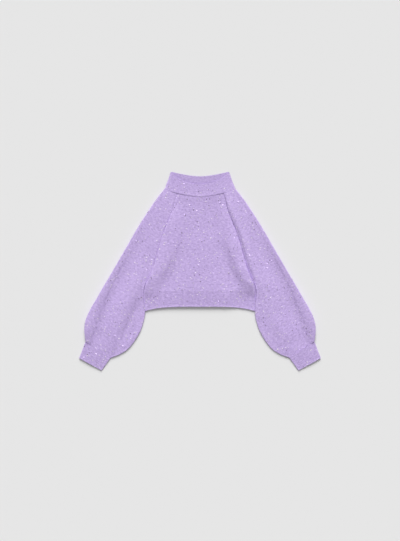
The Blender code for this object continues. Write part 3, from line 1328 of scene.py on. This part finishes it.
@dataclass
class Tube(Knitwear):
    """A strip folded round at its outer edge, whose two long edges meet at the inner seam."""

    side: Side = Side.LEFT
    outer_roll: float = 1.7 * MM
    inner_roll: float = 1.5 * MM
    seam_roll: float = 2.2 * MM
    least_turn: float = 0.3 * MM
    roll_points: int = 8
    bend_points: int = 13
    back_share: float = 0.7

    def section(
        self, outer: Array, inner: Array, back: Array, free: Array, seam: Array, crest: Crest, step: float
    ) -> tuple[Array, Array]:
        """The strip's outer face.

        Formula: across each row, a quarter ellipse rises from the inner edge to the front layer, half
        an ellipse turns round the outer edge, the back layer runs flat, and where the row is free of
        the body's back it turns up by a second quarter ellipse to meet the front's edge.

        Args:
            outer: the outer edge in plan, a point a row.
            inner: the front layer's inner edge in plan.
            back: the back layer's inner edge in plan.
            free: for each row, 0 where the back layer joins the body's back and 1 where it turns up.
            seam: the height of the front layer's inner edge, one for each row.
            crest: the front layer's height, as a function of plan, distance from the inner edge, width.
            step: the spacing of the columns across the widest row.

        Returns:
            The points, rows by columns by 3, and the same count of distances round the strip from the
            outer edge, positive on the front.
        """
        free = free[:, None]
        run = outer - inner
        width = np.linalg.norm(run, axis=1)[:, None]
        out = (run / width)[:, None]
        quarter = np.linspace(0, np.pi / 2, self.roll_points)
        inner_radius = np.minimum(self.seam_roll + (self.inner_roll - self.seam_roll) * free, 0.2 * width)
        outer_radius = np.minimum(self.outer_roll, 0.15 * width)
        # The front layer, from the inner edge's roll to where the outer fold begins.
        roll = self.seam + inner_radius * (1 - np.cos(quarter))
        count = round(float(width.max()) / step)
        over = roll[:, -1:] + np.linspace(0, 1, count + 1)[1:] * (width - outer_radius - roll[:, -1:])
        distance = np.concatenate([roll, over], 1)
        front = inner[:, None] + distance[..., None] * out
        top = crest(front, distance, width)
        lift = np.concatenate([np.broadcast_to(np.sin(quarter), roll.shape), np.ones_like(over)], 1)
        z_front = seam[:, None] + (top - seam[:, None]) * lift
        # The turn round the outer fold.
        turn = np.linspace(np.pi / 2, -np.pi / 2, self.bend_points)[1:]
        edge, z_middle = front[:, -1:], (top[:, -1:] + self.ground) / 2
        bend = edge + (outer_radius * np.cos(turn))[..., None] * out
        z_bend = z_middle + (top[:, -1:] - z_middle) * np.sin(turn)
        # The back layer, up to its own inner edge.
        back_run = back[:, None] - edge
        reach = np.linalg.norm(back_run, axis=-1)
        ends = np.maximum(inner_radius * free, self.least_turn)
        flat = np.linspace(0, 1, round(count * self.back_share) + 1)[1:]
        up_turn = reach - self.seam - ends * (1 - np.sin(quarter[1:]))
        gone = np.concatenate([flat * (reach - ends - self.seam), up_turn], 1)
        under = edge + back_run * (gone / reach)[..., None]
        curl = np.concatenate([np.zeros(flat.shape), 1 - np.cos(quarter[1:])])
        z_under = self.ground + (self.middle_height - self.ground) * curl * free
        plan, height = np.concatenate([front, bend, under], 1), np.concatenate([z_front, z_bend, z_under], 1)
        points = np.concatenate([plan, height[..., None]], -1)
        steps = np.linalg.norm(np.diff(points, axis=1), axis=-1)
        across = np.concatenate([np.zeros((len(points), 1)), np.cumsum(steps, 1)], 1)
        fold = front.shape[1] + self.bend_points // 2 - 1
        points[..., 0] *= self.side.value
        return points, across[:, fold : fold + 1] - across


@dataclass
class Sleeve(Tube):
    """A balloon sleeve from the neck seam to the cuff, with the cuff's gathers at its end."""

    step: float = 3.0 * MM
    lie: SleeveLie = SLEEVE_LIES[Side.LEFT]
    outer_heights_mm: Points = ((0, 8.6), (3, 9.2), (9, 9.4), (11, 6.8))
    arches_mm: Points = ((0, 0.3), (3, 1.0), (8, 1.6), (11, 0.5))
    least_height: float = 4.3 * MM
    most_height: float = 15.4 * MM
    fold_fade: float = 8 * MM
    neck_gap: float = 0.4 * MM
    neck_gap_reach: float = 10 * MM
    neck_tuck: float = 0.25 * MM
    cuff_tuck: float = 0.1 * MM
    gathers: int = 11
    gathered_width: float = 0.21
    gather_height: float = 0.32 * MM
    gather_reach: float = 42 * MM
    gather_start: float = 6 * MM
    lumps_seed: int = 11

    def crest(self, stations: Array, free: Array) -> Crest:
        """The front layer's height for the given rows.

        Formula: the height goes from the inner roll's crest to the outer fold's by a smooth step, with
        an arch of 4At(1-t) over it, t being the share of the width, and the folds on top.

        Args:
            stations: one for each row.
            free: for each row, 1 where the sleeve hangs free of the body.

        Returns:
            The height, as a function of plan, distance from the inner edge and width.
        """
        s = stations[:, None]
        inner = table(s, self.lie.heights_mm) * MM
        outer = table(s, self.outer_heights_mm) * MM
        arch = table(s, self.arches_mm) * MM

        def height(plan: Array, distance: Array, width: Array) -> Array:
            """The height at each point of the front layer.

            Args:
                plan: the points in plan, as on the wearer's left.
                distance: how far each lies from the inner edge.
                width: each row's width.

            Returns:
                One height for each point.
            """
            t = distance / width
            z = inner + (outer - inner) * smooth_step(t * 1.6) + arch * 4 * t * (1 - t)
            window = 1 - free[:, None] * (1 - smooth_step(distance / self.fold_fade))
            placed = plan * np.array([self.side.value, 1])
            for each in self.lie.folds:
                z = z + each.at(placed) * window
            return np.clip(z, self.least_height, self.most_height)

        return height

    def build(self) -> Cloth:
        """The sleeve's cloth.

        Formula: the strip's section along the sleeve, its two ends tucked down into the seams of the
        collar and the cuff, with gathers cos(2pi n across/width) that fade up from the cuff.

        Returns:
            The cloth.
        """
        plan = self.plan
        rows = drawn_along(plan.outer_fold, 0.0, plan.cuff_top, self.step)
        outer, inner, back = plan.outer_fold(rows), plan.front_inner(rows), plan.back_inner(rows)
        down = walked(outer)
        from_neck, from_cuff = down[:, None], (down[-1] - down)[:, None]
        for edge in (outer, inner, back):
            edge[:, 1] -= self.neck_gap * np.exp(-down / self.neck_gap_reach)
        free = smooth_step((rows - plan.underarm + 0.4) / 0.8)
        attached = self.seam_at(down, np.array(self.side.value)) - self.middle_height
        seam = self.middle_height + attached * (1 - free)
        points, across = self.section(outer, inner, back, free, seam, self.crest(rows, free), self.step)
        upper = points[..., 2] > self.middle_height
        tuck = self.neck_tuck * bump(from_neck, self.edge_reach)
        points[..., 2] -= (tuck + self.cuff_tuck * bump(from_cuff, self.edge_reach)) * upper
        gather = np.cos(2 * np.pi * self.gathers * across / self.gathered_width) * self.gather_height
        relief = gather * np.exp(-((from_cuff / self.gather_reach) ** 1.5)) * (points[..., 2] > 4 * MM)
        lumps = self.uneven(points[..., :2], self.lumps_seed + self.side.value)
        relief = relief * rolled(from_cuff, self.gather_start) + lumps * upper
        uv = np.stack([across, np.broadcast_to(from_neck, across.shape)], -1)
        name = f"sleeve_{self.side.word}"
        made = Wall(f"{name}_cloth", points, uv, relief, self.wall).build()
        return laid_piece(made, self.materials, Stitch.JERSEY, name)


@dataclass
class Cuff(Tube):
    """The ribbed cuff at the end of a sleeve."""

    step: float = 3.0 * MM
    rib_depth: float = 0.5 * MM
    start_gap: float = 0.3 * MM
    inner_height: float = 5.0 * MM
    outer_rise: float = 1.5 * MM
    arch: float = 0.5 * MM
    droop: float = 2.0 * MM
    lip: float = 0.4 * MM
    outer_roll: float = 1.6 * MM

    def build(self) -> Cloth:
        """The cuff's cloth.

        Formula: the strip's section between two straight edges, from the sleeve's end to the cuff's,
        with the ribs as its relief.

        Returns:
            The cloth.
        """
        plan = self.plan
        top = np.array([plan.cuff_top])
        ends = [plan.fitted(np.array(end)) for end in (plan.cuff_outer, plan.cuff_inner)]
        starts = [plan.outer_fold(top)[0], plan.front_inner(top)[0]]
        length = float(np.linalg.norm(ends[0] - starts[0]))
        down = spaced(length, self.step)[:, None]
        share = (self.start_gap + down * (1 - self.start_gap / length)) / length
        outer, inner = (start + share * (end - start) for start, end in zip(starts, ends))

        def crest(places: Array, distance: Array, width: Array) -> Array:
            """The front layer's height: an arch that droops to the free edge and ends in a small lip.

            Args:
                places: the points in plan; not used.
                distance: how far each lies from the inner edge.
                width: each row's width.

            Returns:
                One height for each point.
            """
            t = distance / width
            full = self.inner_height + self.outer_rise * smooth_step(t * 1.6) + self.arch * 4 * t * (1 - t)
            return full - self.droop * share + self.lip * bump((1 - share) * length, self.edge_reach)

        ones = np.ones(len(outer))
        seam = self.middle_height * ones
        step = self.rib_pitch / self.rib_samples
        points, across = self.section(outer, inner, inner, ones, seam, crest, step)
        uv = np.stack([across, np.broadcast_to(down, across.shape)], -1)
        relief = self.ribbed(across) * self.rib_ends(down, length - down) * self.rib_sides(points[..., 2])
        name = f"cuff_{self.side.word}"
        made = Wall(f"{name}_cloth", points, uv, relief, self.wall).build()
        return laid_piece(made, self.materials, Stitch.RIB, name)


@dataclass
class Collar(Knitwear):
    """The high ribbed collar, a ring that stands open at its top."""

    rib_depth: float = 0.35 * MM
    length: float = 0.07
    top_half_width: float = 0.109
    top_side_y: float = 0.368
    front_top_y: float = 0.3215
    back_top_y: float = 0.350
    front_power: float = 2.45
    back_power: float = 1.6
    waist: float = 1.2 * MM
    fold_reach: float = 6.0 * MM
    bend_points: int = 14
    row_share: float = 0.045
    layer_columns: int = 288
    crest: float = 8.4 * MM
    swell: float = 1.3 * MM
    swell_reach: float = 0.03
    front_droop: float = 1.6 * MM
    back_rise: float = 1.5 * MM
    ridge: float = 0.45 * MM
    ridge_at: float = 4 * MM
    ridge_width: float = 3.5 * MM
    ridge_half_length: float = 0.075
    seam_start: float = 1.7 * MM
    seam_roll: float = 2.4 * MM

    def build(self) -> Cloth:
        """The collar's cloth.

        Formula: the ring of its layers and side folds, with the ribs as its relief, in a whole number
        of ribs round the ring.

        Returns:
            The cloth.
        """
        rise = spaced(1.0, self.row_share)[:, None]
        base = self.ring(rise)
        around = walked(base[0])
        pitch = self.rib_pitch / self.rib_samples
        uv = np.stack(np.broadcast_arrays(around[None, :], rise * self.length), -1).copy()
        ribs = round((around[-1] + pitch) / self.rib_pitch)
        turns = around / (around[-1] + pitch) * ribs * self.rib_pitch
        ends = self.rib_ends(rise * self.length, (1 - rise) * self.length)
        relief = self.ribbed(turns)[None, :] * ends * self.rib_sides(base[..., 2])
        made = Wall("collar_cloth", base, uv, relief, self.wall, ring=True).build()
        return laid_piece(made, self.materials, Stitch.RIB, "collar")

    def ring(self, rise: Array) -> Array:
        """The collar's outer face, front layer, side fold, back layer and side fold.

        Formula: a point's height up the collar is its share of the way from the neck seam to the open
        edge, both curves of |q| to a power, q being -1 to 1 between the side folds; half ellipses turn
        round the folds from the front layer to the back one.

        Args:
            rise: for each row, the share of the way from the neck seam to the open edge.

        Returns:
            The points, rows by columns by 3.
        """
        plan = self.plan
        half = plan.neck_half_width + (self.top_half_width - plan.neck_half_width) * rise
        half = half - self.waist * np.sin(np.pi * rise)
        lean = 1 - self.fold_reach / half
        front = np.linspace(-1, 1, self.layer_columns + 1) * lean
        back = np.linspace(1, -1, self.layer_columns + 1) * lean

        def up(q: Array, seam: Array, edge: float, power: float) -> Array:
            """Y from the seam to the open edge, whose middle lies at edge and rises as |q| to the power."""
            return seam + (edge + (self.top_side_y - edge) * np.abs(q) ** power - seam) * rise

        y_front = up(front, plan.front_seam(front * plan.neck_half_width), self.front_top_y, self.front_power)
        y_back = up(back, plan.back_seam(back * plan.neck_half_width), self.back_top_y, self.back_power)
        z_front = self.front_height(half, front, y_front - y_front[:1], rise)
        z_back = self.ground + self.back_rise * rise**2 + np.zeros(back.shape)
        turn = np.linspace(np.pi / 2, -np.pi / 2, self.bend_points)[1:-1]

        def fold(sign: int, high: Array, low: Array, y_high: Array, y_low: Array) -> Array:
            """One round side fold, from the front layer down to the back one.

            Args:
                sign: the fold's side, as the sign of X.
                high: the front layer's height where the fold begins.
                low: the back layer's height where it ends.
                y_high: Y where it begins.
                y_low: Y where it ends.

            Returns:
                The fold's points, rows by columns by 3.
            """
            mid, arm = (high + low) / 2, (high - low) / 2
            x = sign * (half * lean + self.fold_reach * np.cos(turn))
            y = (y_high + y_low) / 2 + (y_high - y_low) / 2 * np.sin(turn)
            return np.stack([x, y, mid + arm * np.sin(turn)], -1)

        layers = [
            np.stack([front * half, y_front, z_front], -1),
            fold(1, z_front[:, -1:], z_back[:, :1], y_front[:, -1:], y_back[:, :1]),
            np.stack([back * half, y_back, z_back], -1),
            fold(-1, z_front[:, :1], z_back[:, -1:], y_front[:, :1], y_back[:, -1:])[:, ::-1],
        ]
        return np.concatenate(layers, 1) * np.array([*plan.scale, 1.0])

    def front_height(self, half: Array, q: Array, from_seam: Array, rise: Array) -> Array:
        """The front layer's height.

        Formula: a soft rise from the side folds, less a droop to the open edge, with a low ridge along
        the middle of the neck seam, rolled down to the seam.

        Args:
            half: half the collar's width in each row.
            q: -1 to 1 between the side folds.
            from_seam: the distance above the neck seam.
            rise: the share of the way up the collar.

        Returns:
            One height for each point.
        """
        from_side = half * (1 - np.abs(q))
        z = self.crest + self.swell * settled(from_side, self.swell_reach) - self.front_droop * rise
        ridge = self.ridge * np.exp(-((q * half / self.ridge_half_length) ** 4))
        z = z + ridge * bump(from_seam - self.ridge_at, self.ridge_width)
        return self.seam_height + (z - self.seam_height) * rolled(from_seam + self.seam_start, self.seam_roll)


# --------------------------------------------------------------------------------------------------
# What is on the cloth
# --------------------------------------------------------------------------------------------------


def round_about(first: Array, second: Array, corners: int) -> Array:
    """The corners of a round shape in the plane of two directions: cos(a) first + sin(a) second."""
    angle = (np.arange(corners) * 2 * np.pi / corners)[:, None]
    return first[:, None] * np.cos(angle) + second[:, None] * np.sin(angle)


@dataclass
class Trim:
    """Many small things spread over the cloth of one part of the garment, made as one object."""

    materials: list[bpy.types.Material]
    seed: int
    density: float

    def joined(self, name: str, points: Array, faces: list[Array], kinds: list[Array]) -> bpy.types.Object:
        """Makes the object and puts it on the frame.

        Args:
            name: the object's name.
            points: the vertices, thing by thing.
            faces: arrays of polygons.
            kinds: for each of these arrays, the number of each polygon's material.

        Returns:
            The object.
        """
        points = points.reshape(-1, 3)
        made = mesh_object(name, points, turned_out(points, faces)[0])
        for material in self.materials:
            made.data.materials.append(material)
        made.data.polygons.foreach_set("material_index", np.concatenate(kinds).astype(np.int32))
        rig.ride(made, "root")
        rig.slot(made, "knit")
        return made


@dataclass
class Sequins(Trim):
    """Small flat discs sewn all over the cloth, each at its own slight tilt; some are coloured as painted
    glints and some as painted dark reflections.
    """

    seed: int = 20
    density: float = 5200.0
    radius: float = 1.15 * MM
    sizes: tuple[float, float] = (0.7, 1.5)
    thickness: float = 0.22 * MM
    lift: float = 0.55 * MM
    tilt: float = 0.24
    turn: float = 0.3
    clearance: float = 0.05 * MM
    corners: int = 8
    # The shares of the painted glints, the lilac sequins and the painted dark reflections.
    shares: tuple[float, ...] = (0.42, 0.44, 0.14)

    def build(self, name: str, cloths: list[Cloth]) -> bpy.types.Object:
        """All the sequins of one part of the garment, as one object.

        Formula: a disc's rim is its centre plus radius times (cos, sin) in a plane whose normal is the
        cloth's, leaned by a small random vector.

        Args:
            name: the object's name.
            cloths: the pieces that the sequins are sewn to.

        Returns:
            The object.
        """
        rng = np.random.default_rng(self.seed + sum(map(ord, name)))
        places, normals, along = scattered(cloths, rng, self.density)
        count, n = len(places), self.corners
        axis = unit(normals + rng.normal(0, self.tilt, (count, 3)))
        first = unit(np.cross(axis, along + rng.normal(0, self.turn, (count, 3))))
        size = self.radius * rng.uniform(*self.sizes, (count, 1, 1))
        rim = size * round_about(first, np.cross(axis, first), n)
        centre = (places + normals * self.lift)[:, None]
        half = (axis * self.thickness / 2)[:, None]
        points = np.stack([centre + rim + half, centre + rim - half], 1)
        low = points[..., 2].min(axis=(1, 2), keepdims=True)
        points[..., 2] += np.maximum(self.clearance - low, 0)
        start, ring = (np.arange(count) * 2 * n)[:, None], np.arange(n)
        following = (ring + 1) % n
        sides = start[:, :, None] + np.stack([ring, ring + n, following + n, following], -1)
        faces = [start + ring, start + n + ring[::-1], sides.reshape(-1, 4)]
        # Each disc's kind by the shares: painted glint, lilac sequin or painted dark reflection.
        kind = rng.choice(len(self.materials), count, p=self.shares)
        LOG.info("%s: %d sequins", name, count)
        return self.joined(name, points, faces, [kind, kind, np.repeat(kind, n)])


@dataclass
class Pile(Trim):
    """The loose hairs of the yarn: short thin spikes that lie over the cloth, each bent once."""

    seed: int = 71
    density: float = 44000.0
    length: tuple[float, float] = (3.0 * MM, 7.0 * MM)
    thickness: float = 0.17 * MM
    lift: tuple[float, float] = (0.08, 0.42)
    root_depth: float = 0.2 * MM
    spread: float = 1.0
    curl: float = 0.55
    droop: float = 0.55
    taper: float = 0.8
    clearance: float = 0.1 * MM

    def build(self, name: str, cloths: list[Cloth]) -> bpy.types.Object:
        """All the hairs of one part of the garment, as one object.

        Formula: a hair leaves its root at a low angle to the cloth, bends at its middle by a random
        vector and ends in a point; its section is a triangle.

        Args:
            name: the object's name.
            cloths: the pieces that the hairs stand on.

        Returns:
            The object.
        """
        rng = np.random.default_rng(self.seed + sum(map(ord, name)))
        places, normals, along = scattered(cloths, rng, self.density)
        count = len(places)
        lay = along + rng.normal(0, self.spread, (count, 3))
        lay = unit(lay - (lay * normals).sum(1, keepdims=True) * normals)
        way = lay + normals * rng.uniform(*self.lift, (count, 1))
        half = rng.uniform(*self.length, (count, 1)) * 0.5
        side = np.cross(normals, lay)
        root = places - normals * self.root_depth
        middle = root + way * half
        tip = middle + (way * [1, 1, self.droop] + side * rng.normal(0, self.curl, (count, 1))) * half
        ring = round_about(side, normals, 3) * self.thickness / 2
        points = np.concatenate([root[:, None] + ring, middle[:, None] + ring * self.taper, tip[:, None]], 1)
        points[..., 2] = np.maximum(points[..., 2], self.clearance)
        start = (np.arange(count) * points.shape[1])[:, None, None]
        quads = start + np.array([[0, 1, 4, 3], [1, 2, 5, 4], [2, 0, 3, 5]])
        ends = start + np.array([[3, 4, 6], [4, 5, 6], [5, 3, 6], [2, 1, 0]])
        kind = rng.integers(0, len(self.materials), count)
        kinds = [np.repeat(kind, quads.shape[1]), np.repeat(kind, ends.shape[1])]
        LOG.info("%s: %d hairs", name, count)
        return self.joined(name, points, [quads.reshape(-1, 4), ends.reshape(-1, 3)], kinds)


# --------------------------------------------------------------------------------------------------
# The studio
# --------------------------------------------------------------------------------------------------


@dataclass
class Studio:
    """A pale floor, one broad soft light from beyond the collar, and a camera straight above."""

    floor_size: float = 80.0
    floor_colour: float = 0.80
    floor_depth: float = 0.4 * MM
    sky: float = 0.34
    sun_strength: float = 3.82
    sun_spread: float = 0.60
    sun_from: tuple[float, float, float] = (0.0, 1.0, 0.577)
    card_strength: float = 0.19
    card_from: tuple[float, float, float] = (0.0, -1.0, 0.9)
    lens: float = 85.0
    film_width: float = 36.0
    farthest: float = 100.0
    camera_height: float = 4.731
    camera_y: float = 0.001

    def placed(self, name: str, data: bpy.types.ID) -> bpy.types.Object:
        """A new object that holds this light or camera, linked to the scene.

        Args:
            name: the object's name.
            data: the light or the camera.

        Returns:
            The object.
        """
        made = bpy.data.objects.new(name, data)
        bpy.context.scene.collection.objects.link(made)
        return made

    def lamp(self, name: str, strength: float, source: tuple[float, float, float]) -> None:
        """A broad light that shines from a direction towards the origin.

        Args:
            name: the light's name.
            strength: its strength.
            source: the direction it comes from.
        """
        data = bpy.data.lights.new(name, "SUN")
        data.energy, data.angle = strength, self.sun_spread
        x, y, z = source
        self.placed(name, data).rotation_euler = (0.0, np.arctan2(np.hypot(x, y), z), np.arctan2(y, x))

    def build(self) -> None:
        """Floor, lights, sky and camera."""
        half, z = self.floor_size / 2, -self.floor_depth
        corners = np.array([(-half, -half, z), (half, -half, z), (half, half, z), (-half, half, z)])
        floor = mesh_object("floor", corners, [np.array([[0, 1, 2, 3]])])
        paper = PlainFinish((self.floor_colour,) * 3, 0.0, 0.9, specular=0.0)
        floor.data.materials.append(paper.material("floor_paper"))
        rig.stage(floor)
        world = bpy.data.worlds.new("studio")
        world.use_nodes = True
        world.node_tree.nodes["Background"].inputs["Color"].default_value = (1.0, 1.0, 1.0, 1.0)
        world.node_tree.nodes["Background"].inputs["Strength"].default_value = self.sky
        scene = bpy.context.scene
        scene.world = world
        self.lamp("softbox", self.sun_strength, self.sun_from)
        self.lamp("white_card", self.card_strength, self.card_from)
        lens = bpy.data.cameras.new("camera")
        lens.lens, lens.sensor_width, lens.clip_end = self.lens, self.film_width, self.farthest
        scene.camera = self.placed("camera", lens)
        scene.camera.location = (0.0, self.camera_y, self.camera_height)
        scene.view_settings.view_transform = "Standard"


# --------------------------------------------------------------------------------------------------
# The whole
# --------------------------------------------------------------------------------------------------


CUTS = {
    # Each piece's flat size in metres, its area in square metres, and what it lies on.
    "body_front": ((0.416, 0.385), 0.118, ["body_back_cloth"]),
    "body_back": ((0.416, 0.395), 0.122, []),
    "hem_rib_front": ((0.416, 0.070), 0.0245, ["hem_rib_back_cloth"]),
    "hem_rib_back": ((0.416, 0.070), 0.0245, []),
    "sleeve_left": ((0.420, 0.680), 0.190, []),
    "sleeve_right": ((0.420, 0.680), 0.190, []),
    "collar": ((0.532, 0.075), 0.033, []),
    "cuff_left": ((0.216, 0.068), 0.0140, []),
    "cuff_right": ((0.216, 0.068), 0.0140, []),
}

TRIMMED = {
    # The pieces whose sequins and hairs are made together, under the piece that carries them.
    "body_front": ("body_front", "body_back", "hem_rib_front", "hem_rib_back", "collar"),
    "sleeve_left": ("sleeve_left", "cuff_left"),
    "sleeve_right": ("sleeve_right", "cuff_right"),
}

HAIR_SHADES = ((0.61, 0.468, 0.82), (0.52, 0.397, 0.745), (0.73, 0.597, 0.925))


def declare_sheets(made: dict[str, Cloth], trims: dict[str, list[bpy.types.Object]]) -> None:
    """Tells the frame how each piece of cloth was cut, and what is on it.

    Args:
        made: the finished pieces of cloth, each under its node's name.
        trims: the sequins and the hairs on a piece of cloth, under the same name.
    """
    for name, (flat, area, below) in CUTS.items():
        on_it = trims.get(name, [])
        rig.sheet(made[name].piece, flat=flat, held="laid", rests_on=below, area=area, with_pieces=on_it)


def main() -> None:
    """Builds the sweater piece by piece, then what is on it, then the studio."""
    logging.basicConfig(level=logging.INFO, format="%(name)s: %(message)s")
    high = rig.bounds()[1]
    cut = Outline(scale=(high.x / Outline.cuff_outer[0], high.y / Collar.top_side_y))
    materials = {stitch: KnitFinish(stitch).material(f"fluffy_{stitch.name.lower()}") for stitch in Stitch}
    made = Body(cut, materials).build()
    for side, lie in SLEEVE_LIES.items():
        sleeve = Sleeve(cut, materials, side=side, lie=lie, seam_roll=lie.seam_roll)
        made[f"sleeve_{side.word}"] = sleeve.build()
        made[f"cuff_{side.word}"] = Cuff(cut, materials, side=side).build()
    made["collar"] = Collar(cut, materials).build()
    # Sequin materials: the near-white and the dark plum ones are a painted glint and a painted dark reflection.
    tones = [PlainFinish(*tone.value).material(f"sequin_{tone.name.lower()}") for tone in Tone]
    hairs = [PlainFinish(shade, 0.0, 0.7, 0.05).material(f"hair_{i}") for i, shade in enumerate(HAIR_SHADES)]
    trims = {}
    for first, parts in TRIMMED.items():
        cloths, word = [made[part] for part in parts], first.removesuffix("_front")
        sequins = Sequins(tones).build(f"sequins_{word}", cloths)
        trims[first] = [sequins, Pile(hairs).build(f"pile_{word}", cloths)]
    declare_sheets(made, trims)
    Studio().build()
    with open("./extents.json", "w") as out:
        json.dump({"cad": CAD_BOX, "visual": [list(corner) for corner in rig.bounds()]}, out)


if __name__ == "__main__":
    main()
